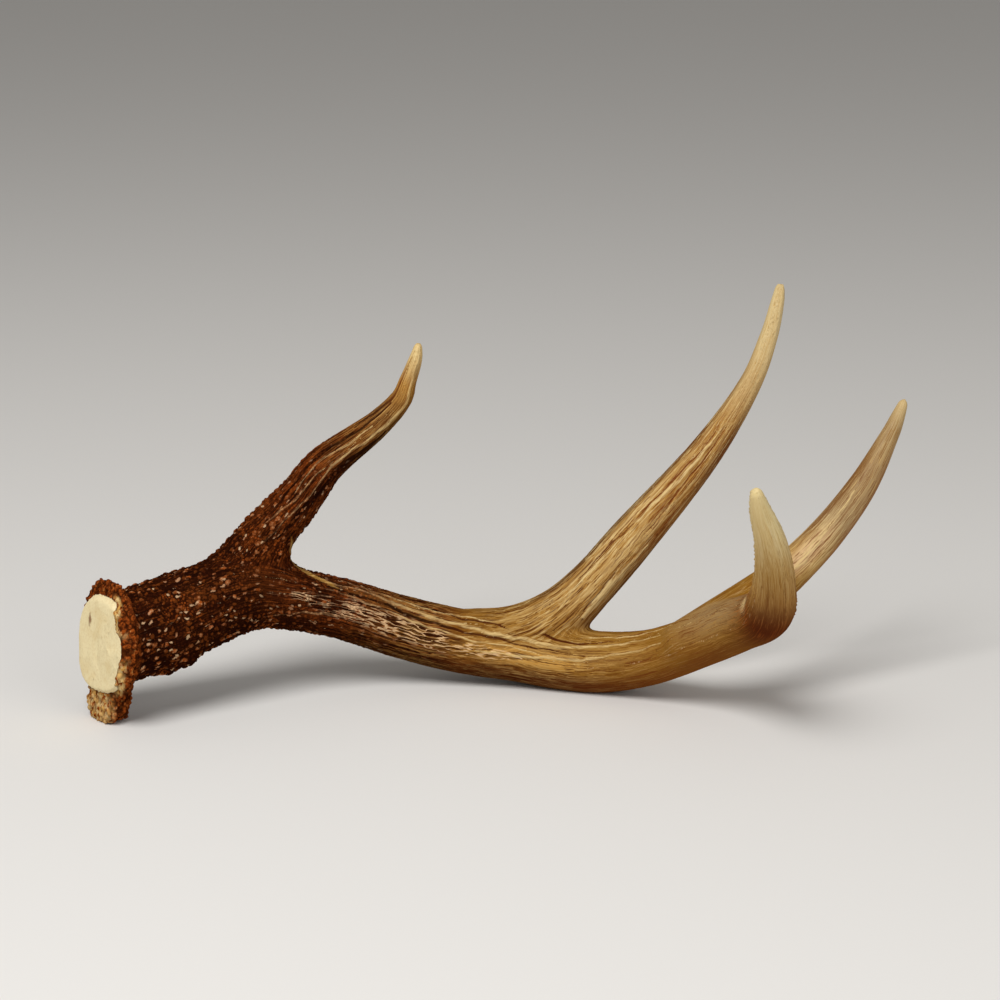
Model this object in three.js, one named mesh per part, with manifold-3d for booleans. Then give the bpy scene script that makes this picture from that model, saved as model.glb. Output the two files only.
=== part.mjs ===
// A shed deer antler with four points, lying on a flat surface on its burr and the belly of its main beam.
// Millimetres, +Z up, +X from the burr towards the tip end. The origin is under the middle of the antler.
//
// An antler grows as one piece. It is split here across its three forks, so that each limb is a solid of its own.
import * as THREE from "three";
import { mergeVertices } from "three/addons/utils/BufferGeometryUtils.js";
import Module from "manifold-3d";

const wasm = await Module();
wasm.setup();
const { clamp, lerp, smoothstep } = THREE.MathUtils;

// ---- driving dimensions ----
const splitGap = 0.3; // between two limbs that meet at a fork
const faceBevel = 1.6; // worn edge of the bare bone face at the foot of the antler
const stubLength = 2; // bare bone that stands proud of the burr
const burrCrown = 5; // distance of the burr's crown from the face, along the beam
const burrBack = 9.2; // where its back has run down to the beam
const burrSide = 4.2; // how far the burr stands out, at its sides
const burrTop = 7.2; // at its top
const burrFoot = 15.5; // and at its foot, a lobe that the antler rests on
const lobeAim = new THREE.Vector3(-0.14, 0.03, -0.99); // the way the lobe points
const lobeFlank = [0.87, 0.99]; // how near a direction is to that where the lobe starts and where it is full
const lobeLean = 3; // how far it leans out in front
const lobeSwell = 5; // and how much farther back it reaches than the rest of the burr
const burrKnob = 2.2; // height of the knobs round the crown
const faceAim = new THREE.Vector3(0.8, 0.58, -0.1); // the bone face stands square to this, and not to the beam
const faceReach = 26; // distance over which the beam has turned away from it
const faceCorner = 1.3; // the face is a rounded square, and stands out this much at its corners
const chinAim = new THREE.Vector3(-0.36, 0.38, -0.84); // it is fuller still on this side
const chin = 2;
const faceShapeEnd = [4, 14]; // where the beam has lost that shape

// Two lumps under the lower beam: distance, height and half length.
const lumpAim = new THREE.Vector3(0.26, -0.25, -0.93);
const lumps = [
  [24, 1.8, 3],
  [32, 2.2, 4],
];

// Pearls are the small knobs of the lower beam and brow tine. Flutes are lengthwise furrows. Both come and go
// between two distances along their limb, and the flutes end at a distance before its tip.
const pearlHeight = 1.3;
const pearlShare = 0.45; // of the places where a pearl could stand
const beamPearlsEnd = [80, 130];
const browPearlsEnd = [45, 95];
const fluteDepth = 0.5;
const fluteTwist = 0.03; // radians per millimetre
const beamFlutes = 7;
const tineFlutes = 5;
const beamFlutesStart = [70, 130];
const browFlutesStart = [40, 80];
const tineFlutesStart = [10, 40];
const flutesBeforeTip = [5, 45];

// Where the limbs are split, as distances along the main beam and along each tine.
const split = {
  beamAtBrow: 101,
  beamAtSecond: 232,
  beamAtThird: 302,
  brow: 34,
  second: 66,
  third: 47,
};

// Centrelines. Each station is x, y, z and the limb's radius there.
const beamStations = [
  [-162.2, 1.4, 33.2, 18.8],
  [-151.5, 8, 35.3, 18.2],
  [-140.5, 15, 37.3, 18.6],
  [-125, 24, 41.7, 17.5],
  [-109, 32, 45.2, 16.2],
  [-93, 39, 42.5, 13.2],
  [-68, 48, 34.6, 12.6],
  [-42.5, 54, 24.6, 13.1],
  [-17, 55, 17.9, 13.6],
  [8.5, 52, 15.2, 13.9],
  [25.5, 48, 13.1, 13.8],
  [42, 43, 12.4, 13],
  [62.5, 33, 17.7, 11.6],
  [82, 19, 29.2, 10.9],
  [97, 3, 41.4, 10.9],
  [106.2, -17, 53.1, 10.3],
  [106.8, -35, 70.9, 8.3],
  [103.5, -51, 90.7, 6.3],
  [98, -64, 107.5, 4.1],
  [95.3, -71, 117.7, 1.9],
];
const browStations = [
  [-123, 27, 44.9, 13],
  [-110.2, 35, 54.1, 11.3],
  [-98.8, 39, 66.5, 10.8],
  [-82.6, 39, 85.3, 9.2],
  [-71, 37, 100.3, 7.8],
  [-51.2, 35, 116.3, 5.7],
  [-40.7, 34, 127.4, 4.5],
  [-37.3, 33, 136.1, 3.5],
  [-34.2, 32, 145, 2.7],
  [-32.8, 32, 151.9, 1.3],
];
const secondStations = [
  [-16, 55, 18.4, 13],
  [5, 53, 20.4, 13],
  [23, 51.5, 28.9, 12],
  [38.5, 51, 43.9, 10.2],
  [56.6, 53, 64.9, 9.6],
  [85.2, 57, 98.9, 7.1],
  [103.5, 61, 126.9, 4.8],
  [111.5, 64, 146.9, 3.8],
  [115.2, 66, 161.9, 2.8],
  [116.4, 67, 169.7, 1.6],
];
const thirdStations = [
  [76, 22, 26.9, 10],
  [93, 20, 38.9, 10],
  [107, 25, 47.4, 9.2],
  [120, 34, 54.9, 8.2],
  [136.6, 45, 68.7, 7.3],
  [151.8, 55, 86.2, 6.1],
  [163, 63, 104.9, 4],
  [167, 67, 112.5, 3],
  [170.1, 70, 119.5, 1.7],
];

// ---- a limb: a centreline with a radius along it and a relief around it ----
class Limb {
  constructor(stations, relief, { footAim, lean } = {}) {
    const curve = (points) => new THREE.CatmullRomCurve3(points, false, "catmullrom", 0.5);
    this.line = curve(stations.map(([x, y, z]) => new THREE.Vector3(x, y, z)));
    this.line.arcLengthDivisions = 400;
    this.girth = curve(stations.map(([, , , radius]) => new THREE.Vector3(radius, 0, 0)));
    this.length = this.line.getLength();
    this.tipRounding = 1.6 * stations.at(-1)[3];
    this.relief = relief;
    this.footAim = footAim;
    this.lean = lean ?? (() => 0);
    this.sides = this.carriedSides();
  }

  // A sideways direction for each millimetre of the line, carried along it without a twist.
  carriedSides() {
    const steps = Math.ceil(this.length);
    const sides = [new THREE.Vector3(0, -1, 0)];
    for (let i = 0; i <= steps; i++) {
      const along = this.line.getTangentAt(i / steps);
      const side = sides.at(-1).clone();
      sides.push(side.addScaledVector(along, -side.dot(along)).normalize());
    }
    return sides.slice(1);
  }

  // The middle of a cross-section and the two directions that span it.
  frameAt(s) {
    const u = clamp(s / this.length, 0, 1);
    const along = this.line.getTangentAt(u);
    if (this.footAim) along.lerp(this.footAim, 1 - smoothstep(s, 0, faceReach)).normalize();
    const side = this.sides[Math.round(u * (this.sides.length - 1))].clone();
    side.addScaledVector(along, -side.dot(along)).normalize();
    return { centre: this.line.getPointAt(u), along, side, across: along.clone().cross(side) };
  }

  radiusAt(s) {
    const u = clamp(s / this.length, 0, 1);
    const radius = this.girth.getPoint(this.line.getUtoTmapping(u)).x;
    const past = Math.max(0, s - this.length + this.tipRounding) / this.tipRounding;
    return radius * Math.sqrt(Math.max(0, 1 - past * past));
  }

  // The closed solid of a stretch of the limb: a lathed tube with a ring at each stop, bent along the line.
  stretch(stops, around) {
    const last = stops.length - 1;
    const profile = stops.map((_, ring) => new THREE.Vector2(1, ring));
    const tube = new THREE.LatheGeometry([new THREE.Vector2(0, 0), ...profile, new THREE.Vector2(0, last)], around);
    const spots = tube.attributes.position;
    for (let i = 0; i < spots.count; i++) {
      const ring = Math.round(spots.getY(i));
      const turn = Math.atan2(spots.getX(i), spots.getZ(i)) / (2 * Math.PI);
      const column = (Math.round(turn * around) + around) % around;
      const onAxis = Math.hypot(spots.getX(i), spots.getZ(i)) < 0.5;
      const place = this.surfacePoint(stops[ring], ring, column, around, onAxis);
      spots.setXYZ(i, place.x, place.y, place.z);
    }
    return solid(tube);
  }

  // Every second ring is turned by half a column, so that knobs and pearls stand in a staggered pattern.
  surfacePoint(s, ring, column, around, onAxis) {
    const angle = (2 * Math.PI * (column + (ring % 2) / 2)) / around;
    const { centre, along, side, across } = this.frameAt(s);
    if (onAxis) return centre;
    const outward = side.multiplyScalar(Math.cos(angle)).addScaledVector(across, Math.sin(angle));
    const at = { s, angle, ring, column, outward, left: this.length - s };
    centre.addScaledVector(outward, this.radiusAt(s) + this.relief(at));
    return centre.addScaledVector(along, -this.lean(at));
  }
}

// ---- relief ----

// A repeatable number from 0 to 1 for each pair of whole numbers.
function scatter(i, j) {
  const wave = Math.sin(i * 127.1 + j * 311.7) * 43758.5453;
  return wave - Math.floor(wave);
}

function pearls({ ring, column }, cover) {
  const chance = scatter(ring, column);
  return cover * pearlHeight * (chance > 1 - pearlShare ? chance : 0.25 * chance - 0.25);
}

function flutes({ s, angle, left }, count, cover) {
  const share = cover * smoothstep(left, ...flutesBeforeTip);
  return -share * fluteDepth * (0.5 + 0.5 * Math.cos(count * angle + fluteTwist * s));
}

// How near a direction is to the burr's lobe, and how much of the burr there is at a distance from the face.
const lobeShare = ({ outward }) => smoothstep(outward.dot(lobeAim), ...lobeFlank);

function burrShare(at) {
  const swell = lobeSwell * lobeShare(at);
  return smoothstep(at.s, stubLength, stubLength + 2.6) * (1 - smoothstep(at.s, burrCrown + swell, burrBack + swell));
}

// The burr is a ring of knobs that stands out most at its lobe.
function burr(at) {
  const up = Math.max(0, at.outward.z) ** 2;
  const stand = burrSide + (burrTop - burrSide) * up + (burrFoot - burrSide) * lobeShare(at);
  return burrShare(at) * (stand + burrKnob * (scatter(at.column, Math.floor(at.ring / 2)) - 0.5));
}

function burrLean(at) {
  const front = 1 - smoothstep(at.s, stubLength, burrCrown + lobeSwell);
  return lobeLean * burrShare(at) * lobeShare(at) * front;
}

function faceShape({ s, outward }) {
  const square = 4 * outward.z ** 2 * (1 - outward.z ** 2);
  const full = faceCorner * square + chin * Math.max(0, outward.dot(chinAim)) ** 8;
  return full * (1 - smoothstep(s, ...faceShapeEnd)) + Math.min(0, s - faceBevel);
}

function lumpsUnder({ s, outward }) {
  const under = smoothstep(outward.dot(lumpAim), 0.75, 0.98);
  return under * lumps.reduce((sum, [at, height, half]) => sum + height * Math.exp(-(((s - at) / half) ** 2)), 0);
}

function beamRelief(at) {
  const pearled = smoothstep(at.s, burrCrown, burrBack) * (1 - smoothstep(at.s, ...beamPearlsEnd));
  const foot = faceShape(at) + burr(at) + lumpsUnder(at);
  return foot + pearls(at, pearled) + flutes(at, beamFlutes, smoothstep(at.s, ...beamFlutesStart));
}

function browRelief(at) {
  const pearled = 1 - smoothstep(at.s, ...browPearlsEnd);
  return pearls(at, pearled) + flutes(at, tineFlutes, smoothstep(at.s, ...browFlutesStart));
}

const tineRelief = (at) => flutes(at, tineFlutes, smoothstep(at.s, ...tineFlutesStart));

// ---- solids ----

// A closed three.js geometry as a manifold-3d solid.
function solid(geometry) {
  const bare = geometry.clone();
  bare.deleteAttribute("normal");
  bare.deleteAttribute("uv");
  const merged = mergeVertices(bare, 1e-4);
  const corners = [];
  for (let i = 0; i < merged.index.count; i += 3) {
    const [a, b, c] = [0, 1, 2].map((k) => merged.index.getX(i + k));
    if (a !== b && b !== c && c !== a) corners.push(a, b, c);
  }
  const vertProperties = new Float32Array(merged.attributes.position.array);
  return new wasm.Manifold(new wasm.Mesh({ numProp: 3, vertProperties, triVerts: new Uint32Array(corners) }));
}

// Evenly spaced stops from one distance to another, about a given step apart.
function stops(from, to, step) {
  const count = Math.max(1, Math.round((to - from) / step));
  return Array.from({ length: count + 1 }, (_, i) => lerp(from, to, i / count));
}

// The burr's lobe and the belly of the beam each have a small flat where they bear on the surface under them.
function restOnGround(made) {
  const below = new THREE.BoxGeometry(600, 400, 60).translate(0, 0, -30);
  return made.subtract(solid(below));
}

const beam = new Limb(beamStations, beamRelief, { footAim: faceAim, lean: burrLean });
const brow = new Limb(browStations, browRelief);
const second = new Limb(secondStations, tineRelief);
const third = new Limb(thirdStations, tineRelief);

function burrAndLowerBeam() {
  const foot = [0, faceBevel / 2, faceBevel, stubLength, 3.2, 4.4, 5.8, 7.2, 8.6, 10.2, 12.2];
  const browRoot = brow.stretch(stops(0, split.brow, 3.2), 28);
  const rings = [...foot, ...stops(14.6, split.beamAtBrow, 2.8)];
  return restOnGround(beam.stretch(rings, 42).add(browRoot));
}

function middleBeam() {
  const from = split.beamAtBrow + splitGap;
  const secondRoot = second.stretch(stops(0, split.second, 6), 18);
  return restOnGround(beam.stretch(stops(from, split.beamAtSecond, 6), 24).add(secondRoot));
}

function frontBeam() {
  const from = split.beamAtSecond + splitGap;
  const thirdRoot = third.stretch(stops(0, split.third, 6), 18);
  return beam.stretch(stops(from, split.beamAtThird, 6), 24).add(thirdRoot);
}

// The free end of a limb beyond its split, with closer rings where the tip rounds off.
function freeEnd(limb, from, step, around) {
  const shoulder = limb.length - limb.tipRounding;
  const rounded = [0.4, 0.7, 0.9, 0.985].map((share) => shoulder + share * limb.tipRounding);
  return limb.stretch([...stops(from + splitGap, shoulder, step), ...rounded], around);
}

// ---- the antler ----

function piece(name, colour, roughness, made) {
  const { numProp, vertProperties, triVerts } = made.getMesh();
  const geometry = new THREE.BufferGeometry();
  geometry.setAttribute("position", new THREE.BufferAttribute(vertProperties, numProp));
  geometry.setIndex(new THREE.BufferAttribute(triVerts, 1));
  const bare = geometry.toNonIndexed();
  bare.computeVertexNormals();
  const mesh = new THREE.Mesh(bare, new THREE.MeshStandardMaterial({ color: colour, roughness, metalness: 0 }));
  mesh.name = name;
  return mesh;
}

const antler = new THREE.Group();
antler.add(
  piece("burr_and_lower_beam", 0x3b1d10, 0.55, burrAndLowerBeam()),
  piece("brow_tine", 0x5e3318, 0.5, freeEnd(brow, split.brow, 4.6, 18)),
  piece("middle_beam", 0x7d5226, 0.5, middleBeam()),
  piece("second_tine", 0x9a7240, 0.48, freeEnd(second, split.second, 7, 16)),
  piece("front_beam", 0x94703d, 0.48, frontBeam()),
  piece("beam_tip", 0xb8975c, 0.42, freeEnd(beam, split.beamAtThird, 6.5, 16)),
  piece("third_tine", 0xb0905c, 0.45, freeEnd(third, split.third, 6.5, 16)),
);

export default antler;
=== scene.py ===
import math

import bpy
import numpy as np
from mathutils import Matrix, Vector


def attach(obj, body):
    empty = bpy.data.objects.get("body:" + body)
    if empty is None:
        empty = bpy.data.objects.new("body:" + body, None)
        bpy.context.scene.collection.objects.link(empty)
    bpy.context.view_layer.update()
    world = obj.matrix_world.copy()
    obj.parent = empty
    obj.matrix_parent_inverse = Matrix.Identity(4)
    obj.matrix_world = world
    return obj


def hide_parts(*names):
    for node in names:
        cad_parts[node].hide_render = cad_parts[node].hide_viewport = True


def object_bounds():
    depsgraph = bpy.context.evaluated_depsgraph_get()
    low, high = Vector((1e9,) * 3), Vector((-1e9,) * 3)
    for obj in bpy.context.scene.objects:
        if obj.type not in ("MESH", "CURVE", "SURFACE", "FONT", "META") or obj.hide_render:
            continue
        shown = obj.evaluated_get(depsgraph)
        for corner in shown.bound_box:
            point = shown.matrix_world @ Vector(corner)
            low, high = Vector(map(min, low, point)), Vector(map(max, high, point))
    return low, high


MM = 0.001

# ---- the antler's size and build ----

BONE_FACE_BEVEL = 0.6
STUB_LENGTH = 2.0  # bare bone that stands proud of the burr
STUB_END = (STUB_LENGTH - 0.3, STUB_LENGTH + 1.5)  # where the bone gives way to the burr along the beam
FACE_EDGE = (0.2, 1.4)  # and how far outside the face's outline
BURR_FRONT = (3.2, 5.4)  # depth of the burr's front, which is tan beside the face
BURR_RISE = 2.6  # length over which the burr rises behind the stub
BURR_CROWN = 5.0  # distance of the burr's crown from the bone face, along the beam
BURR_BACK = 9.2  # where its back has run down to the beam
BURR_SIDE = 4.2  # how far it stands out at its sides
BURR_TOP = 7.2
BURR_FOOT = 15.5  # and at its foot, a lobe that the antler rests on
LOBE_AIM = np.array([-0.14, 0.03, -0.99])
LOBE_FLANK = (0.87, 0.99)  # how near a direction is to that where the lobe starts and where it is full
LOBE_LEAN = 3.0  # how far the lobe leans forward
LOBE_SWELL = 5.0  # how much farther back the lobe reaches than the rest of the burr
FACE_AIM = np.array([0.80, 0.58, -0.10])  # the bone face stands square to this, and not to the beam
FACE_REACH = 26.0  # distance over which the beam has turned away from it
FACE_CORNER = 1.3  # the face is a rounded square, and stands out this much at its corners
CHIN_AIM = np.array([-0.36, 0.38, -0.84])  # it is fuller still on this side
CHIN = 2.0
FACE_SHAPE_END = (4, 14)  # where the beam has lost that shape
STRIP_AIM = np.array([0.62, -0.78, 0.1])  # on this side the burr is low, and has crept over the face's edge
STRIP_FLANK = (0.45, 0.9)
STRIP_LOW = 2.0
STRIP_CREEP = (1.5, 3.0, 1.4)  # beside the middle of the face, and how much more above and below it
STRIP_MIDDLE = 0.12  # how far upwards a direction points at the strip's middle
STRIP_ENDS = (0.15, 0.5)  # how far from its middle the strip turns from bark to bare tan
STRIP_WIDTH = 3.6

# Two lumps under the lower beam: distance, height and half length.
LUMP_AIM = np.array([0.26, -0.25, -0.93])
LUMP_FLANK = (0.75, 0.98)
LUMPS = [(24, 1.8, 3), (32, 2.2, 4)]

# Centrelines. Each station is x, y, z and the limb's radius there.
MAIN_BEAM = [
    (-162.2, 1.4, 33.2, 18.8),
    (-151.5, 8, 35.3, 18.2),
    (-140.5, 15, 37.3, 18.6),
    (-125, 24, 41.7, 17.5),
    (-109, 32, 45.2, 16.2),
    (-93, 39, 42.5, 13.2),
    (-68, 48, 34.6, 12.6),
    (-42.5, 54, 24.6, 13.1),
    (-17, 55, 17.9, 13.6),
    (8.5, 52, 15.2, 13.9),
    (25.5, 48, 13.1, 13.8),
    (42, 43, 12.4, 13),
    (62.5, 33, 17.7, 11.6),
    (82, 19, 29.2, 10.9),
    (97, 3, 41.4, 10.9),
    (106.2, -17, 53.1, 10.3),
    (106.8, -35, 70.9, 8.3),
    (103.5, -51, 90.7, 6.3),
    (98, -64, 107.5, 4.1),
    (95.3, -71, 117.7, 1.9),
]
BROW_TINE = [
    (-123, 27, 44.9, 13),
    (-110.2, 35, 54.1, 11.3),
    (-98.8, 39, 66.5, 10.8),
    (-82.6, 39, 85.3, 9.2),
    (-71, 37, 100.3, 7.8),
    (-51.2, 35, 116.3, 5.7),
    (-40.7, 34, 127.4, 4.5),
    (-37.3, 33, 136.1, 3.5),
    (-34.2, 32, 145, 2.7),
    (-32.8, 32, 151.9, 1.3),
]
SECOND_TINE = [
    (-16, 55, 18.4, 13),
    (5, 53, 20.4, 13),
    (23, 51.5, 28.9, 12),
    (38.5, 51, 43.9, 10.2),
    (56.6, 53, 64.9, 9.6),
    (85.2, 57, 98.9, 7.1),
    (103.5, 61, 126.9, 4.8),
    (111.5, 64, 146.9, 3.8),
    (115.2, 66, 161.9, 2.8),
    (116.4, 67, 169.7, 1.6),
]
THIRD_TINE = [
    (76, 22, 26.9, 10),
    (93, 20, 38.9, 10),
    (107, 25, 47.4, 9.2),
    (120, 34, 54.9, 8.2),
    (136.6, 45, 68.7, 7.3),
    (151.8, 55, 86.2, 6.1),
    (163, 63, 104.9, 4),
    (167, 67, 112.5, 3),
    (170.1, 70, 119.5, 1.7),
]

DRAFT_VOXEL = 0.8  # the skin's first mesh, on which the forks are filled
SKIN_VOXEL = 0.46
SKIN_TRIANGLES = 192_000
BROW_FILLET = 15.0  # width over which the brow tine and the beam run into each other at their fork
SECOND_FILLET = 4.0
THIRD_FILLET = 8.0
FORK_BLEND = 4.5  # width over which the colour and grain of two limbs change over
FORKS_START = (28, 40)  # distance along the beam from which the forks are blended
LONGEST_STEP = 1.5  # how far one pass of the blend moves the skin
TIP_ROUNDING = 1.6  # length of a limb's rounded end, in radii
PATTERN_APART = 500  # distance between the limbs' patterns

# ---- colours ----


def srgb(*channels):
    """A colour in Blender's linear values from the usual 0 to 255."""
    shares = [channel / 255 for channel in channels]
    return tuple(((share + 0.055) / 1.055) ** 2.4 if share > 0.04045 else share / 12.92 for share in shares)


BARK = srgb(28, 9, 4)
UMBER = srgb(52, 19, 7)
CHESTNUT = srgb(80, 34, 12)
RUSSET = srgb(112, 56, 20)
RUST = srgb(150, 72, 24)
BROWN = srgb(114, 68, 26)
OLIVE = srgb(140, 98, 33)
GOLD = srgb(168, 124, 62)
AMBER = srgb(204, 152, 74)
BEIGE = srgb(160, 132, 92)
TAN = srgb(188, 150, 88)
ROSY = srgb(196, 146, 102)
DUST = srgb(208, 172, 132)
CHALK = srgb(224, 188, 144)
SAND = srgb(202, 178, 130)
CREAM = srgb(214, 186, 130)
IVORY = srgb(220, 198, 142)
BONE = srgb(232, 216, 172)

# Tones along each limb: distance, ground colour, pale streaks and ridges, dark grooves.
BEAM_TONES = [
    (0, UMBER, RUSSET, BARK),
    (75, UMBER, RUSSET, BARK),
    (105, CHESTNUT, RUST, BARK),
    (140, RUSSET, GOLD, BARK),
    (180, BROWN, TAN, UMBER),
    (215, OLIVE, TAN, CHESTNUT),
    (260, OLIVE, GOLD, RUSSET),
    (300, OLIVE, GOLD, BROWN),
    (326, BROWN, RUST, CHESTNUT),
    (346, GOLD, TAN, BROWN),
    (364, TAN, CREAM, OLIVE),
    (386, IVORY, BONE, TAN),
    (411, IVORY, BONE, CREAM),
]
BROW_TONES = [
    (0, UMBER, RUSSET, BARK),
    (40, CHESTNUT, RUST, BARK),
    (75, CHESTNUT, RUST, BARK),
    (98, RUSSET, GOLD, BARK),
    (113, BROWN, TAN, UMBER),
    (128, GOLD, AMBER, RUSSET),
    (141, CREAM, IVORY, GOLD),
]
SECOND_TONES = [
    (0, OLIVE, TAN, CHESTNUT),
    (60, GOLD, CREAM, CHESTNUT),
    (110, GOLD, CREAM, RUSSET),
    (150, GOLD, CREAM, RUSSET),
    (186, SAND, CREAM, TAN),
    (212, SAND, IVORY, TAN),
]
THIRD_TONES = [
    (0, OLIVE, BEIGE, BROWN),
    (50, OLIVE, TAN, BROWN),
    (62, TAN, CREAM, BROWN),
    (85, BEIGE, SAND, BROWN),
    (112, BEIGE, TAN, BROWN),
    (132, BEIGE, SAND, OLIVE),
    (146, SAND, CREAM, TAN),
]

# Relief along each limb: distance, then how much of the pearls, the ridges and the polish there is.
BEAM_RELIEF = [
    (14, 1, 0.1, 0),
    (70, 1, 0.2, 0),
    (100, 0.7, 0.7, 0),
    (135, 0.15, 1, 0),
    (180, 0, 0.7, 0),
    (250, 0, 0.2, 0.02),
    (330, 0, 0.05, 0.02),
    (375, 0, 0, 0.25),
]
BROW_RELIEF = [
    (0, 1, 0.2, 0),
    (35, 1, 0.5, 0),
    (70, 0.5, 0.9, 0),
    (95, 0, 0.7, 0),
    (125, 0, 0.2, 0),
    (140, 0, 0, 0.2),
]
SECOND_RELIEF = [(0, 0, 0.4, 0), (110, 0, 0.45, 0), (170, 0, 0.1, 0.1), (200, 0, 0, 0.2)]
THIRD_RELIEF = [(0, 0, 0.15, 0.02), (60, 0, 0.2, 0.02), (120, 0, 0.1, 0.1), (140, 0, 0, 0.2)]

# Lines along the limbs. Each has the limb's number and its course: distance, degrees round the limb from the
# front (down is positive on the beam) and half width.
BEAM, BROW, SECOND, THIRD = range(4)
PALE_LINES = [
    (BEAM, [(86, -96, 0.7), (92, -66, 0.7), (100, -53, 0.5),
            (112, -54, 0.5), (126, -48, 0.8), (145, -38, 0.9)]),
    (BEAM, [(144, -38, 0.8), (162, -34, 0.8), (186, -22, 0.7),
            (206, -22, 0.8), (229, -34, 0.6), (262, -40, 0.2)]),
    (BEAM, [(104, -66, 0.2), (118, -62, 0.4), (140, -54, 0.5), (165, -52, 0.3), (180, -44, 0.2)]),
    (BEAM, [(94, -38, 0.2), (112, -32, 0.4), (145, -18, 0.4), (170, -10, 0.4), (200, -4, 0.2)]),
    (BEAM, [(170, 8, 0.3), (190, 6, 0.6), (214, -4, 0.7), (240, -16, 0.4), (262, -18, 0.2)]),
    (BEAM, [(216, -50, 0.2), (240, -56, 0.5), (268, -56, 0.2)]),
    (BEAM, [(70, 28, 0.2), (82, 22, 0.4), (100, 8, 0.5), (112, 4, 0.2)]),
    (BEAM, [(100, 150, 0.3), (140, 140, 0.8), (200, 155, 0.8), (270, 150, 0.3)]),
    (BROW, [(36, -8, 0.3), (54, 0, 0.4), (73, 10, 0.4), (92, 0, 0.55),
            (110, 20, 0.65), (132, 22, 0.5), (141, 18, 0.3)]),
    (BROW, [(62, -30, 0.2), (83, -32, 0.4), (93, -22, 0.45), (106, -20, 0.2)]),
    (BROW, [(40, -32, 0.2), (52, -26, 0.4), (66, -14, 0.4), (80, -8, 0.2)]),
    (BROW, [(50, 170, 0.3), (80, 185, 0.8), (110, 175, 0.7), (130, 170, 0.3)]),
    (SECOND, [(52, 31, 1.0), (60, 29, 1.8), (70, 26, 1.5), (80, 29, 0.9), (92, 36, 0.3)]),
    (SECOND, [(46, -22, 0.2), (59, -31, 0.5), (72, -37, 0.4), (96, -22, 0.2)]),
    (SECOND, [(96, -30, 0.3), (108, -26, 0.7), (120, -20, 0.8), (134, -15, 0.6), (150, -14, 0.2)]),
    (SECOND, [(60, 160, 0.4), (100, 170, 1.0), (150, 165, 0.4)]),
    (THIRD, [(50, -16, 0.6), (60, -20, 1.4), (79, -32, 0.9), (100, -36, 0.4)]),
]
DARK_LINES = [
    (BROW, [(40, 12, 0.5), (55, 14, 1.5), (72, 32, 2.2), (92, 36, 1.8), (108, 44, 0.6)]),
    (BROW, [(56, -46, 0.3), (80, -50, 0.9), (104, -44, 0.7), (118, -40, 0.3)]),
    (BROW, [(98, -70, 0.4), (114, -66, 0.8), (130, -56, 0.6), (140, -50, 0.2)]),
    (BROW, [(40, -150, 0.4), (70, -155, 1.6), (100, -160, 0.5)]),
    (BEAM, [(96, -44, 0.3), (126, -37, 0.8), (145, -28, 0.8),
            (162, -24, 0.6), (190, -13, 0.4), (216, -13, 0.2)]),
    (BEAM, [(120, -66, 0.3), (150, -56, 0.5), (186, -36, 0.4), (210, -34, 0.5), (235, -44, 0.3)]),
    (BEAM, [(222, -58, 0.2), (250, -62, 0.5), (285, -58, 0.3)]),
    (BEAM, [(80, 110, 0.4), (130, 100, 1.8), (190, 105, 1.2), (240, 100, 0.3)]),
    (SECOND, [(62, -44, 0.2), (74, -45, 0.4), (84, -40, 0.4), (96, -33, 0.2)]),
    (SECOND, [(54, 20, 0.3), (64, 17, 0.5), (76, 14, 0.3)]),
    (SECOND, [(100, -40, 0.2), (118, -33, 0.4), (132, -27, 0.4), (150, -26, 0.2)]),
    (SECOND, [(92, 10, 0.2), (112, 4, 0.5), (130, 0, 0.4), (148, 0, 0.2)]),
]
# A band of short wavy crests along the middle beam.
CRACKLED_BAND = [
    (BEAM, [(82, -14, 1.5), (100, -7, 4.0), (116, -5, 5.0), (134, -3, 5.0),
            (154, 3, 4.5), (172, 7, 3.5), (192, 9, 1.0)]),
    (BEAM, [(90, 175, 1.5), (130, 170, 5.0), (180, 180, 4.0), (205, 185, 1.0)]),
]
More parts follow.
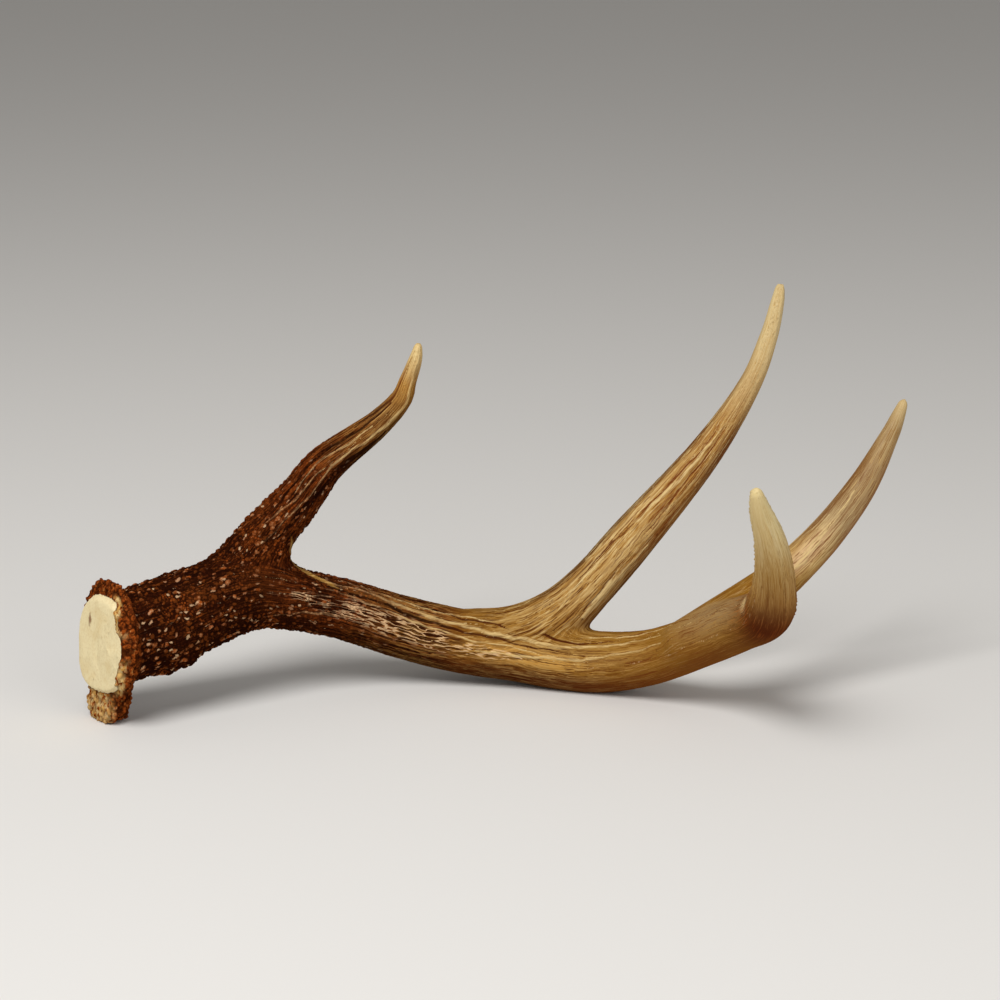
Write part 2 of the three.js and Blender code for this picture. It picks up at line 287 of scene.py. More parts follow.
# Stains, and one painted highlight: limb, distance, degrees round it, half length, half width, tone and
# strength.
STAINS_AND_HIGHLIGHT = [
    (BEAM, 214, 62, 46, 9, RUSSET, 0.8),
    (BEAM, 226, -8, 36, 5, TAN, 0.25),
    (BEAM, 265, 12, 30, 7, BROWN, 0.35),
    (BEAM, 230, 4, 22, 6, BROWN, 0.3),
    (BEAM, 152, 42, 34, 4, RUSSET, 0.6),
    (BEAM, 296, -54, 32, 13, BEIGE, 0.75),
    # A painted highlight: a small cream spot on the beam's bend.
    (BEAM, 324, -36, 5, 5, CREAM, 0.9),
    (BEAM, 292, 62, 34, 9, BROWN, 0.7),
    (BEAM, 328, 58, 17, 12, CHESTNUT, 0.95),
    (BEAM, 192, 6, 36, 5, AMBER, 0.85),
    (BEAM, 208, 40, 24, 4, CHESTNUT, 0.6),
    (BEAM, 122, -48, 24, 4, GOLD, 0.25),
    (BEAM, 150, 78, 62, 11, CHESTNUT, 0.75),
    (BEAM, 112, 60, 26, 8, BARK, 0.6),
    (BEAM, 118, -92, 50, 7, UMBER, 0.85),
    (BEAM, 90, -40, 16, 9, CHESTNUT, 0.5),
    (BEAM, 66, -30, 12, 8, RUSSET, 0.35),
    (BEAM, 42, -34, 10, 6, RUSSET, 0.6),
    (SECOND, 138, 62, 26, 5, CHESTNUT, 0.8),
    (SECOND, 100, -84, 90, 3.4, UMBER, 0.85),
    (SECOND, 80, 66, 26, 3, CHESTNUT, 0.6),
    (SECOND, 96, 44, 20, 3, RUST, 0.3),
    (THIRD, 90, 60, 44, 5, RUST, 0.5),
    (THIRD, 96, -84, 44, 3.4, BROWN, 0.8),
    (THIRD, 62, -24, 22, 5, DUST, 0.8),
    (BROW, 100, 70, 40, 5, UMBER, 0.85),
    (BROW, 116, 50, 18, 3, OLIVE, 0.5),
]
# A smooth pale rim runs through the crotch of the brow tine. Each point is x, y, z and half width.
CROTCH_RIM = [
    (-86.3, 31.7, 71.5, 0.3),
    (-86.4, 36, 65, 1.2),
    (-87, 40.5, 58.5, 1.7),
    (-85.9, 41.8, 55.9, 1.7),
    (-84.1, 41.8, 54.3, 1.7),
    (-82, 40.7, 53, 1.6),
    (-77, 40.2, 50.6, 1.4),
    (-71.7, 39.8, 47.9, 1.0),
    (-66.3, 39.8, 45.4, 0.3),
]
RIM_EDGE = (0.5, 1.2)  # in half widths
# Next to it the bark has few pearls.
BARE_SPOT = (-91, 26, 51)
BARE_REACH = (6, 14)
BARE_SHARE = 0.75
# A brown spot on the bone face.
SPOT = (-166.8, 9.3, 41.8)
SPOT_WIDTH = 1.3
SPOT_HEIGHT = 2.6


# ---- small number tools ----


def smoothstep(low, high, value):
    share = np.clip((value - low) / (high - low), 0, 1)
    return share * share * (3 - 2 * share)


def dot(a, b):
    return np.einsum("...i,...i->...", a, b)


def unit(rows):
    return rows / np.linalg.norm(rows, axis=-1, keepdims=True)


def smooth_run(stations, per_span=60):
    """Points of the smooth curve through the stations, evenly spread within each span."""
    rows = np.array(stations, float)
    rows = np.vstack([2 * rows[0] - rows[1], rows, 2 * rows[-1] - rows[-2]])
    t = np.linspace(0, 1, per_span, endpoint=False)[:, None]
    spans = []
    for before, start, end, after in zip(rows, rows[1:], rows[2:], rows[3:]):
        bend = 2 * before - 5 * start + 4 * end - after
        twist = 3 * (start - end) + after - before
        spans.append(0.5 * (2 * start + (end - before) * t + bend * t**2 + twist * t**3))
    return np.vstack([*spans, rows[-2]])


# ---- a limb ----


class Limb:
    """A centreline with its radius and the frames of its cross-sections, held as rows one step apart."""

    STEP = 0.5
    BATCH = 20_000  # how many points are located at once
    CORRECTIONS = 8

    def __init__(self, stations, tones, relief, start=0.0, fillet=0.0, foot_aim=None):
        run = smooth_run(stations)
        travelled = np.concatenate([[0], np.cumsum(np.linalg.norm(np.diff(run[:, :3], axis=0), axis=1))])
        self.length = travelled[-1]
        self.count = int(self.length / self.STEP) + 1
        self.s = np.linspace(0, self.length, self.count)
        self.step = self.s[1]
        self.centre = np.stack([np.interp(self.s, travelled, run[:, k]) for k in range(3)], 1)
        self.tip = TIP_ROUNDING * stations[-1][3]
        past = np.clip((self.s - self.length + self.tip) / self.tip, 0, 1)
        self.radius = np.interp(self.s, travelled, run[:, 3]) * np.sqrt(1 - past**2)
        self.along = unit(np.gradient(self.centre, axis=0))
        self.side = self.carried_sides()
        if foot_aim is not None:
            turn = 1 - smoothstep(0, FACE_REACH, self.s)[:, None]
            self.along = unit(self.along * (1 - turn) + foot_aim * turn)
            self.side = unit(self.side - self.along * dot(self.side, self.along)[:, None])
        self.across = np.cross(self.along, self.side)
        self.tones = tones
        self.relief = relief
        self.start = start
        self.fillet = fillet

    def carried_sides(self):
        """A sideways direction that is carried along the limb without a twist."""
        side = np.array([0.0, -1.0, 0.0])
        sides = []
        for along in self.along:
            side = side - along * (side @ along)
            side = side / np.linalg.norm(side)
            sides.append(side)
        return np.array(sides)

    def at(self, s, rows):
        """Rows of the limb at any distances along it."""
        place = np.clip(s / self.step, 0, self.count - 1.001)
        low = place.astype(int)
        share = place - low
        if rows.ndim == 2:
            share = share[:, None]
        return rows[low] * (1 - share) + rows[low + 1] * share

    def locate(self, points):
        """Each point's distance along the limb, cosine and sine round it, and distance from its middle."""
        nearest = np.empty(len(points), int)
        square = (self.centre**2).sum(1)
        for low in range(0, len(points), self.BATCH):
            some = points[low : low + self.BATCH]
            nearest[low : low + self.BATCH] = np.argmin(square - 2 * some @ self.centre.T, axis=1)
        s = self.s[nearest]
        for _ in range(self.CORRECTIONS):
            ahead = dot(points - self.at(s, self.centre), self.at(s, self.along))
            s = np.clip(s + ahead, 0, self.length)
        arm = points - self.at(s, self.centre)
        reach = np.linalg.norm(arm, axis=1)
        x = dot(arm, self.at(s, self.side))
        y = dot(arm, self.at(s, self.across))
        around = np.maximum(np.hypot(x, y), 1e-6)
        return s, x / around, y / around, reach

    def tube(self, stand, ring_step=1.0, around=96, rings_on_tip=9):
        """The limb's closed tube, as vertices and faces. stand gives how far it stands out and leans."""
        shoulder = self.length - self.tip
        rounded = shoulder + self.tip * np.sin(np.linspace(0, np.pi / 2, rings_on_tip + 1)[:-1])
        rings = np.concatenate([np.arange(0, shoulder, ring_step), rounded])
        angle = np.linspace(0, 2 * np.pi, around, endpoint=False)
        frames = (self.centre, self.along, self.side, self.across)
        centre, along, side, across = (self.at(rings, rows) for rows in frames)
        cosine, sine = np.cos(angle)[None, :, None], np.sin(angle)[None, :, None]
        outward = side[:, None] * cosine + across[:, None] * sine
        s = np.repeat(rings[:, None], around, 1)
        out, lean = stand(s, outward)
        radius = self.at(rings, self.radius)[:, None] + out
        spots = centre[:, None] + outward * radius[..., None] - along[:, None] * lean[..., None]
        count = len(rings)
        faces = []
        for ring in range(count - 1):
            for k in range(around):
                a, b = ring * around + k, ring * around + (k + 1) % around
                faces.append((a, b, b + around, a + around))
        foot, top = count * around, count * around + 1
        for k in range(around):
            faces.append((foot, (k + 1) % around, k))
            faces.append((top, (count - 1) * around + k, (count - 1) * around + (k + 1) % around))
        vertices = np.vstack([spots.reshape(-1, 3), self.centre[0], self.centre[-1]])
        return vertices, faces


def lobe_share(outward):
    return smoothstep(*LOBE_FLANK, outward @ LOBE_AIM)


def strip_share(outward):
    return smoothstep(*STRIP_FLANK, outward @ STRIP_AIM)


def strip_creep(outward):
    """How far the burr has crept over the face's edge, and how much of the strip there is bare and tan."""
    middle, above, below = STRIP_CREEP
    rise = outward[..., 2] - STRIP_MIDDLE
    over, under = smoothstep(*STRIP_ENDS, rise), smoothstep(*STRIP_ENDS, -rise)
    return strip_share(outward) * (middle + above * over + below * under), over + under


def burr_share(s, lobe):
    swell = LOBE_SWELL * lobe
    risen = smoothstep(STUB_LENGTH, STUB_LENGTH + BURR_RISE, s)
    return risen * (1 - smoothstep(BURR_CROWN + swell, BURR_BACK + swell, s))


def face_shape(s, outward):
    """How far the antler's foot stands out as a rounded square, and how far its edge is cut back."""
    upright = outward[..., 2] ** 2
    full = FACE_CORNER * 4 * upright * (1 - upright) + CHIN * np.maximum(0, outward @ CHIN_AIM) ** 8
    return full * (1 - smoothstep(*FACE_SHAPE_END, s)) + np.minimum(s - BONE_FACE_BEVEL, 0)


def lumps_under(s, outward):
    lengths = sum(height * np.exp(-(((s - middle) / half) ** 2)) for middle, height, half in LUMPS)
    return smoothstep(*LUMP_FLANK, outward @ LUMP_AIM) * lengths


def beam_foot(s, outward):
    """How far the main beam's foot stands out beyond its girth, and how far the burr's lobe leans forward."""
    lobe = lobe_share(outward)
    share = burr_share(s, lobe)
    up = np.maximum(0, outward[..., 2]) ** 2
    stand = BURR_SIDE + (BURR_TOP - BURR_SIDE) * up + (BURR_FOOT - BURR_SIDE) * lobe
    stand = stand - STRIP_LOW * strip_share(outward)
    lean = LOBE_LEAN * share * lobe * (1 - smoothstep(STUB_LENGTH, BURR_CROWN + LOBE_SWELL, s))
    return face_shape(s, outward) + share * stand + lumps_under(s, outward), lean


def plain(s, outward):
    return np.zeros_like(s), np.zeros_like(s)


# ---- the skin ----


def mesh_from(name, vertices, faces):
    mesh = bpy.data.meshes.new(name)
    mesh.from_pydata((vertices * MM).tolist(), [], faces)
    piece = bpy.data.objects.new(name, mesh)
    bpy.context.scene.collection.objects.link(piece)
    return piece


def spots_of(mesh):
    flat = np.empty(len(mesh.vertices) * 3, np.float32)
    mesh.vertices.foreach_get("co", flat)
    return flat.reshape(-1, 3).astype(float) / MM


def move_spots(mesh, spots):
    mesh.vertices.foreach_set("co", (spots * MM).astype(np.float32).ravel())
    mesh.update()


def normals_of(mesh):
    flat = np.empty(len(mesh.vertices) * 3, np.float32)
    mesh.vertices.foreach_get("normal", flat)
    return flat.reshape(-1, 3).astype(float)


def settled(piece):
    """The piece with its modifiers applied."""
    graph = bpy.context.evaluated_depsgraph_get()
    mesh = bpy.data.meshes.new_from_object(piece.evaluated_get(graph))
    piece.modifiers.clear()
    piece.data = mesh
    return piece


def joined_tubes(limbs):
    """All limbs' tubes in one mesh, each a closed shell that runs into the others."""
    vertices, faces, count = [], [], 0
    for limb in limbs:
        spots, ring_faces = limb.tube(beam_foot if limb is limbs[0] else plain)
        vertices.append(spots)
        faces += [tuple(k + count for k in face) for face in ring_faces]
        count += len(spots)
    return mesh_from("antler", np.vstack(vertices), faces)


class Reading:
    """Where each vertex of the skin is on each limb, and how the limbs share it."""

    def __init__(self, limbs, spots):
        self.limbs = limbs
        self.found = [limb.locate(spots) for limb in limbs]
        self.outward = []
        self.clear = []
        for limb, (s, cosine, sine, reach) in zip(limbs, self.found):
            centre = limb.at(s, limb.centre)
            self.outward.append(unit(spots - centre + 1e-9))
            out = 0
            if limb is limbs[0]:
                ring = limb.at(s, limb.side) * cosine[:, None] + limb.at(s, limb.across) * sine[:, None]
                out = beam_foot(s, ring)[0]
            self.clear.append(reach - limb.at(s, limb.radius) - out)
        tines = np.stack(self.clear[1:])
        self.nearest_tine = tines.argmin(0)
        self.tine_share = smoothstep(-FORK_BLEND, FORK_BLEND, self.clear[0] - tines.min(0))

    def field(self):
        """The distance to the blended surface of all limbs, and the way that it grows."""
        level, way = self.clear[0], self.outward[0]
        for limb, clear, outward in zip(self.limbs[1:], self.clear[1:], self.outward[1:]):
            apart = np.clip(1 - dot(unit(way), outward), 0, 1)
            width = np.maximum(limb.fillet * apart, 1e-3)
            near = np.clip(0.5 + 0.5 * (clear - level) / width, 0, 1)
            level = clear * (1 - near) + level * near - width * near * (1 - near)
            way = outward * (1 - near[:, None]) + way * near[:, None]
        return level, way

    def of_nearest_tine(self, on_limbs):
        return np.stack(on_limbs[1:])[self.nearest_tine, np.arange(len(self.nearest_tine))]

    def shared(self, measure):
        """A measure taken on every limb, mixed by how the limbs share each vertex."""
        on_limbs = [measure(limb, found[0]) for limb, found in zip(self.limbs, self.found)]
        share = self.tine_share.reshape(-1, *[1] * (on_limbs[0].ndim - 1))
        return on_limbs[0] * (1 - share) + self.of_nearest_tine(on_limbs) * share


def one_skin(piece, voxel):
    remesh = piece.modifiers.new("one skin", "REMESH")
    remesh.mode = "VOXEL"
    remesh.voxel_size = voxel * MM
    settled(piece)


def blend_at_forks(mesh, limbs, passes):
    """Moves the skin to the limbs' blended surface, with a fillet at each fork. The burr stays as it is."""
    spots = spots_of(mesh)
    for _ in range(passes):
        reading = Reading(limbs, spots)
        level, way = reading.field()
        beyond_burr = smoothstep(*FORKS_START, reading.found[0][0])
        size = np.maximum(dot(way, way), 0.15)
        step = np.clip(level / size, -LONGEST_STEP, LONGEST_STEP) * beyond_burr
        spots = spots - way * step[:, None]
    move_spots(mesh, spots)


def by_distance(keys, column, s):
    """A number or a colour that is keyed to distances along a limb."""
    stops = [key[0] for key in keys]
    values = np.array([key[column] for key in keys], float)
    if values.ndim == 1:
        return np.interp(s, stops, values)
    return np.stack([np.interp(s, stops, channel) for channel in values.T], 1)


def write_attribute(mesh, name, values):
    if values.ndim == 1:
        mesh.attributes.new(name, "FLOAT", "POINT").data.foreach_set("value", values.astype(np.float32))
    else:
        made = mesh.attributes.new(name, "FLOAT_VECTOR", "POINT")
        made.data.foreach_set("vector", values.astype(np.float32).ravel())


FAR = 8.0  # in half widths of a line, and well beyond its edge
STRAY = 0.28  # how far a line strays to either side of its course


def turned_from(reading, which, degrees):
    """The angle round a limb from a direction to each vertex."""
    _, cosine, sine, _ = reading.found[which]
    aim = np.radians(degrees)
    return np.arctan2(sine * np.cos(aim) - cosine * np.sin(aim), cosine * np.cos(aim) + sine * np.sin(aim))


def beside_lines(reading, lines):
    """How far each vertex is from the nearest line, in half widths of that line."""
    nearest = np.full(len(reading.tine_share), FAR)
    for number, (which, course) in enumerate(lines):
        limb = reading.limbs[which]
        s = reading.found[which][0]
        radius = np.maximum(limb.at(s, limb.radius), 0.5)
        stray = STRAY * (np.sin(s / 4.3 + number) + 0.6 * np.sin(s / 1.7 + 2 * number))
        turn = turned_from(reading, which, by_distance(course, 1, s))
        width = by_distance(course, 2, s) * ((s > course[0][0]) & (s < course[-1][0]))
        away = np.abs(turn * radius + stray) / np.maximum(width, 0.05)
        away[reading.clear[which] > 2] = FAR
        nearest = np.minimum(nearest, away)
    return nearest


def off_path(spots, path):
    """How far each spot is from a path of straight runs, in half widths of the path."""
    nearest = np.full(len(spots), FAR)
    rows = np.array(path, float)
    for start, end in zip(rows, rows[1:]):
        run = (end - start)[:3]
        share = np.clip((spots - start[:3]) @ run / (run @ run), 0, 1)
        away = np.linalg.norm(spots - start[:3] - share[:, None] * run, axis=1)
        nearest = np.minimum(nearest, away / (start[3] + share * (end[3] - start[3])))
    return nearest


def with_stains_and_highlight(reading, tones):
    """Ground tones with the stains and the painted highlight laid over them."""
    for which, distance, degrees, half_length, half_width, tone, strength in STAINS_AND_HIGHLIGHT:
        limb = reading.limbs[which]
        s = reading.found[which][0]
        across = turned_from(reading, which, degrees) * limb.at(s, limb.radius) / half_width
        cover = smoothstep(1.3, 0.2, np.hypot(across, (s - distance) / half_length))
        cover = (strength * cover * (reading.clear[which] < 2))[:, None]
        tones = tones * (1 - cover) + np.array(tone) * cover
    return tones


BEAM_BELT = 13.5  # radius of the plain rod that the beam's patterns are drawn on
TINE_BELT = 9.5


def write_growth(mesh, limbs):
    """Writes what relief and material follow: flow along the limbs, tones and how much relief there is."""
    normal = normals_of(mesh)
    spots = spots_of(mesh)
    reading = Reading(limbs, spots)
    flows = []
    for limb, (s, cosine, sine, _) in zip(limbs, reading.found):
        belt = BEAM_BELT if limb is limbs[0] else TINE_BELT
        flows.append(np.stack([cosine * belt, sine * belt, s + limb.start], 1))

    beam = limbs[0]
    s, cosine, sine, reach = reading.found[0]
    ring = beam.at(s, beam.side) * cosine[:, None] + beam.at(s, beam.across) * sine[:, None]
    lobe = lobe_share(ring)
    swell = LOBE_SWELL * lobe
    clear_of_face = reach - beam.radius[0] - face_shape(s, ring)
    creep, bare_strip = strip_creep(ring)
    bone = (1 - smoothstep(*STUB_END, s)) * (1 - smoothstep(*FACE_EDGE, clear_of_face + creep))
    crust = 1 - smoothstep(BURR_CROWN + 2 + swell, BURR_BACK + 1 + swell, s)
    crust = np.maximum(crust, smoothstep(3, 6, reach - beam.at(s, beam.radius)) * (s < 20)) * (1 - bone)
    rind = (1 - crust) * (1 - bone)
    beside_face = 1 - smoothstep(STRIP_WIDTH - 1.2, STRIP_WIDTH, clear_of_face + creep)
    beside_face = beside_face * bare_strip * smoothstep(0.2, 0.5, ring @ STRIP_AIM)
    front = 1 - smoothstep(*BURR_FRONT, s)
    rim = 1 - smoothstep(*RIM_EDGE, off_path(spots, CROTCH_RIM))
    bare = 1 - smoothstep(*BARE_REACH, np.linalg.norm(spots - BARE_SPOT, axis=1))
    pearled, ridged, polish = (
        reading.shared(lambda limb, s: by_distance(limb.relief, column, s)) for column in (1, 2, 3)
    )
    ground, pale, deep = (
        reading.shared(lambda limb, s: by_distance(limb.tones, column, s)) for column in (1, 2, 3)
    )
    growth = {
        "flow_beam": flows[0],
        "flow_tine": reading.of_nearest_tine(flows),
        "tine_share": reading.tine_share,
        "rim": rim,
        "bone": bone,
        "crust": crust,
        "collar": crust * front * np.maximum(beside_face, 0.8 * lobe),
        "pearl_cover": pearled * rind * (1 - rim) * (1 - BARE_SHARE * bare),
        "ridge_cover": ridged * rind * (1 - rim),
        "polish": polish * rind,
        # Painted shade: how far the skin faces down, which the finish darkens.
        "under": smoothstep(0.0, 0.85, -normal[:, 2]),
        "pale_line": beside_lines(reading, PALE_LINES),
        "dark_line": beside_lines(reading, DARK_LINES),
        "crackle": smoothstep(1.3, 0.5, beside_lines(reading, CRACKLED_BAND)) * rind,
        "ground": with_stains_and_highlight(reading, ground),
        "pale": pale,
        "deep": deep,
    }
    for name, values in growth.items():
        write_attribute(mesh, name, values)


# ---- node trees ----


class Value:
    """A node's output. An expression on it adds Math nodes, so that node maths reads as plain arithmetic."""

    def __init__(self, sheet, socket):
        self.sheet = sheet
        self.socket = socket

    def math(self, operation, *others):
        return self.sheet.node("ShaderNodeMath", [self, *others], operation=operation)

    def __add__(self, other):
        return self.math("ADD", other)

    def __sub__(self, other):
        return self.math("SUBTRACT", other)

    def __rsub__(self, other):
        return self.sheet.node("ShaderNodeMath", [other, self], operation="SUBTRACT")

    def __mul__(self, other):
        return self.math("MULTIPLY", other)

    def __truediv__(self, other):
        return self.math("DIVIDE", other)

    def __pow__(self, other):
        return self.math("POWER", other)

    __radd__ = __add__
    __rmul__ = __mul__


class Sheet:
    """A node tree that is being drawn, of a material or of Geometry Nodes."""

    def __init__(self, tree):
        self.tree = tree

    def node(self, kind, inputs=(), out=0, **settings):
        """Adds a node with settings, and with values or links for its sockets. Gives one of its outputs."""
        made = self.tree.nodes.new(kind)
        for name, setting in settings.items():
            setattr(made, name, setting)
        for key, value in inputs.items() if isinstance(inputs, dict) else enumerate(inputs):
            if isinstance(value, Value):
                self.tree.links.new(value.socket, made.inputs[key])
            else:
                made.inputs[key].default_value = value
        return Value(self, made.outputs[out])

    def ease(self, value, low, high):
        """0 below low, 1 above high, and smooth between."""
        spans = {"Value": value, "From Min": low, "From Max": high}
        return self.node("ShaderNodeMapRange", spans, interpolation_type="SMOOTHSTEP")

    def mix(self, share, a, b):
        return self.node("ShaderNodeMix", {0: share, 2: a, 3: b}, data_type="FLOAT")

    def blend(self, share, a, b, way="MIX"):
        """One colour laid over another."""
        a, b = (colour if isinstance(colour, Value) else (*colour, 1) for colour in (a, b))
        return self.node("ShaderNodeMix", {0: share, 6: a, 7: b}, out=2, data_type="RGBA", blend_type=way)

    def vector(self, operation, *vectors, out=0):
        return self.node("ShaderNodeVectorMath", vectors, out=out, operation=operation)

    def trio(self, x, y, z):
        return self.node("ShaderNodeCombineXYZ", [x, y, z])

    def stretched(self, flow, width, length):
        """A flow in units of a pattern that is so wide round the limb and so long along it."""
        return self.vector("DIVIDE", flow, self.trio(width, width, length))

    def noise(self, where, scale=1.0, detail=2.0, rough=0.5, out="Fac"):
        sizes = {"Vector": where, "Scale": scale, "Detail": detail, "Roughness": rough}
        return self.node("ShaderNodeTexNoise", sizes, out=out)

    def swayed(self, flow, scale, reach):
        """A flow whose lines sway to and fro."""
        sway = self.vector("SUBTRACT", self.noise(flow, scale, 2.0, out="Color"), (0.5, 0.5, 0.5))
        return self.vector("ADD", flow, self.vector("MULTIPLY", sway, reach))

    def cells(self, where):
        """Cells about one unit wide: the distance to the nearest one's middle, and a number of its own."""
        sizes = {"Vector": where, "Scale": 1.0, "Randomness": 0.9}
        distance = self.node("ShaderNodeTexVoronoi", sizes, out="Distance")
        colour = Value(self, distance.socket.node.outputs["Color"])
        return distance, self.vector("DOT_PRODUCT", colour, (1.0, 0.0, 0.0), out="Value")


class ReliefSheet(Sheet):
    def read(self, name, kind="FLOAT"):
        return self.node("GeometryNodeInputNamedAttribute", {"Name": name}, data_type=kind)


class FinishSheet(Sheet):
    def read(self, name, kind="FLOAT"):
        out = "Fac" if kind == "FLOAT" else "Vector"
        return self.node("ShaderNodeAttribute", out=out, attribute_name=name)


# ---- patterns that relief and colour share, drawn on the flow along a limb ----

SEED = 3.0
FLECK_SEED = SEED + 4
PEARL_WIDTH = 1.6
PEARL_LENGTH = 2.8
PEARL_HEIGHT = 0.75
FLECK_WIDTH = 0.95
FLECK_LENGTH = 2.4
RIDGE_WIDTH = 1.4
RIDGE_LENGTH = 30.0
RIDGE_HEIGHT = 0.35
CRACKLE_WIDTH = 1.25
CRACKLE_LENGTH = 12.0
CRACKLE_HEIGHT = 0.45
LINE_HEIGHT = 0.4
KNOB_WIDTH = 2.1
KNOB_HEIGHT = 1.1
LUMP_WIDTH = 6.0
LUMP_HEIGHT = 1.2
STREAK_WIDTH = 0.45
STREAK_LENGTH = 26.0
STRAND_WIDTH = 0.5  # of the strands in a pale line
STRAND_LENGTH = 9.0
RAGGED_WIDTH = 0.8  # of the streaks at a line's ragged edges
RAGGED_LENGTH = 7.0
BROAD_WIDTH = 4.5
BROAD_LENGTH = 80.0
GRAIN_WIDTH = 1.2


def pearls(sheet, flow, width, length, seed):
    """Staggered long beads: how high each point stands on its bead, and a number of the bead's own."""
    strayed = sheet.swayed(sheet.swayed(flow, 0.16, (3.0, 3.0, 3.0)), 0.7, (1.1, 1.1, 1.6))
    where = sheet.stretched(strayed, width, length)
    distance, own = sheet.cells(sheet.vector("ADD", where, sheet.trio(seed, seed, seed)))
    size = own * 0.36 + 0.24
    bead = (1 - (distance / size) ** 2).math("MAXIMUM", 0.0) ** 0.6
    return bead * sheet.ease(own, 0.15, 0.3), own


def ridges(sheet, flow, width, length, seed):
    """Wavy crests that run lengthwise, from 0 in a groove to 1 on a crest."""
    where = sheet.stretched(sheet.swayed(flow, 0.1, (2.6, 2.6, 0.0)), width, length)
    height = sheet.noise(sheet.vector("ADD", where, sheet.trio(seed, seed, seed)), 1.0, 1.5, 0.45)
    return 1 - sheet.ease((height * 2 - 1).math("ABSOLUTE"), 0.0, 0.3)


def line_on(sheet, name):
    """1 on the lines of an attribute and 0 beside them. Their edges are ragged."""
    ragged = on_both_flows(sheet, fine_streaks, RAGGED_WIDTH, RAGGED_LENGTH) - 0.5
    return 1 - sheet.ease(sheet.read(name) + ragged * 2.2, 0.4, 1.4)


def fine_streaks(sheet, flow, width, length):
    """Lengthwise streaks, from 0 to 1."""
    where = sheet.stretched(sheet.swayed(flow, 0.07, (2.0, 2.0, 0.0)), width, length)
    return sheet.noise(where, 1.0, 3.0, 0.55)


def knobs(sheet, place, width):
    """Round knobs, close together in every direction, and a number of each knob's own."""
    distance, own = sheet.cells(sheet.stretched(place, width, width))
    return 1 - sheet.ease(distance, 0.0, 0.75), own


def on_both_flows(sheet, pattern, *sizes):
    """A pattern drawn along the beam and along the tines, mixed as they share the skin."""
    share = sheet.read("tine_share")
    made = [pattern(sheet, sheet.read(flow, "FLOAT_VECTOR"), *sizes) for flow in ("flow_beam", "flow_tine")]
    if isinstance(made[0], Value):
        return sheet.mix(share, *made)
    return [sheet.mix(share, *pair) for pair in zip(*made)]


def relief_tree():
    """Geometry Nodes that grow pearls, ridges and burr knobs out of the smooth skin."""
    tree = bpy.data.node_groups.new("antler relief", "GeometryNodeTree")
    sizes = {
        "Pearl width": PEARL_WIDTH,
        "Pearl length": PEARL_LENGTH,
        "Pearl height": PEARL_HEIGHT,
        "Ridge width": RIDGE_WIDTH,
        "Ridge length": RIDGE_LENGTH,
        "Ridge height": RIDGE_HEIGHT,
        "Crackle width": CRACKLE_WIDTH,
        "Crackle length": CRACKLE_LENGTH,
        "Crackle height": CRACKLE_HEIGHT,
        "Line height": LINE_HEIGHT,
        "Knob width": KNOB_WIDTH,
        "Knob height": KNOB_HEIGHT,
        "Lump width": LUMP_WIDTH,
        "Lump height": LUMP_HEIGHT,
        "Seed": SEED,
    }
    tree.interface.new_socket("Skin", in_out="INPUT", socket_type="NodeSocketGeometry")
    for name in sizes:
        tree.interface.new_socket(name, in_out="INPUT", socket_type="NodeSocketFloat")
    tree.interface.new_socket("Finish", in_out="INPUT", socket_type="NodeSocketMaterial")
    tree.interface.new_socket("Antler", in_out="OUTPUT", socket_type="NodeSocketGeometry")
    sheet = ReliefSheet(tree)
    start = tree.nodes.new("NodeGroupInput")
    size = {socket.name: Value(sheet, socket) for socket in start.outputs if socket.name}

    bead, _ = on_both_flows(sheet, pearls, size["Pearl width"], size["Pearl length"], size["Seed"])
    crest = on_both_flows(sheet, ridges, size["Ridge width"], size["Ridge length"], size["Seed"])
    place = sheet.vector("MULTIPLY", sheet.node("GeometryNodeInputPosition"), (1 / MM, 1 / MM, 1 / MM))
    knob, _ = knobs(sheet, place, size["Knob width"])
    lump = sheet.noise(sheet.stretched(place, size["Lump width"], size["Lump width"]), 1.0, 1.0)
    cover = sheet.read("pearl_cover")
    height = bead * cover * size["Pearl height"]
    height = height + (lump - 0.5) * cover * size["Lump height"]
    height = height + (crest - 0.5) * sheet.read("ridge_cover") * size["Ridge height"]
    crackle = on_both_flows(sheet, ridges, size["Crackle width"], size["Crackle length"], size["Seed"])
    height = height + (crackle - 0.4) * sheet.read("crackle") * size["Crackle height"]
    lines = line_on(sheet, "pale_line") - line_on(sheet, "dark_line")
    height = height + lines * size["Line height"]
    height = height + (knob - 0.35) * sheet.read("crust") * size["Knob height"]
    push = sheet.vector("MULTIPLY", sheet.node("GeometryNodeInputNormal"), sheet.trio(*[height * MM] * 3))
    grown = sheet.node("GeometryNodeSetPosition", {"Geometry": size["Skin"], "Offset": push})

    # Nothing reaches below the surface that the antler lies on.
    here = sheet.node("GeometryNodeInputPosition")
    above = sheet.vector("MAXIMUM", here, (-10.0, -10.0, 0.0))
    grown = sheet.node("GeometryNodeSetPosition", {"Geometry": grown, "Position": above})
    grown = sheet.node("GeometryNodeRealizeInstances", [grown])
    grown = sheet.node("GeometryNodeSetMaterial", {"Geometry": grown, "Material": size["Finish"]})
    end = tree.nodes.new("NodeGroupOutput")
    tree.links.new(grown.socket, end.inputs[0])
    return tree, sizes


def grow_relief(piece, finish):
    tree, sizes = relief_tree()
    modifier = piece.modifiers.new("relief", "NODES")
    modifier.node_group = tree
    identifiers = {item.name: item.identifier for item in tree.interface.items_tree}
    for name, size in sizes.items():
        modifier[identifiers[name]] = size
    modifier[identifiers["Finish"]] = finish
    return settled(piece)


# ---- the finish ----

SHEEN = 0.0  # dry bark and bone are dull, and what is worn smooth shines through a thin coat
COAT_ROUGHNESS = 0.35


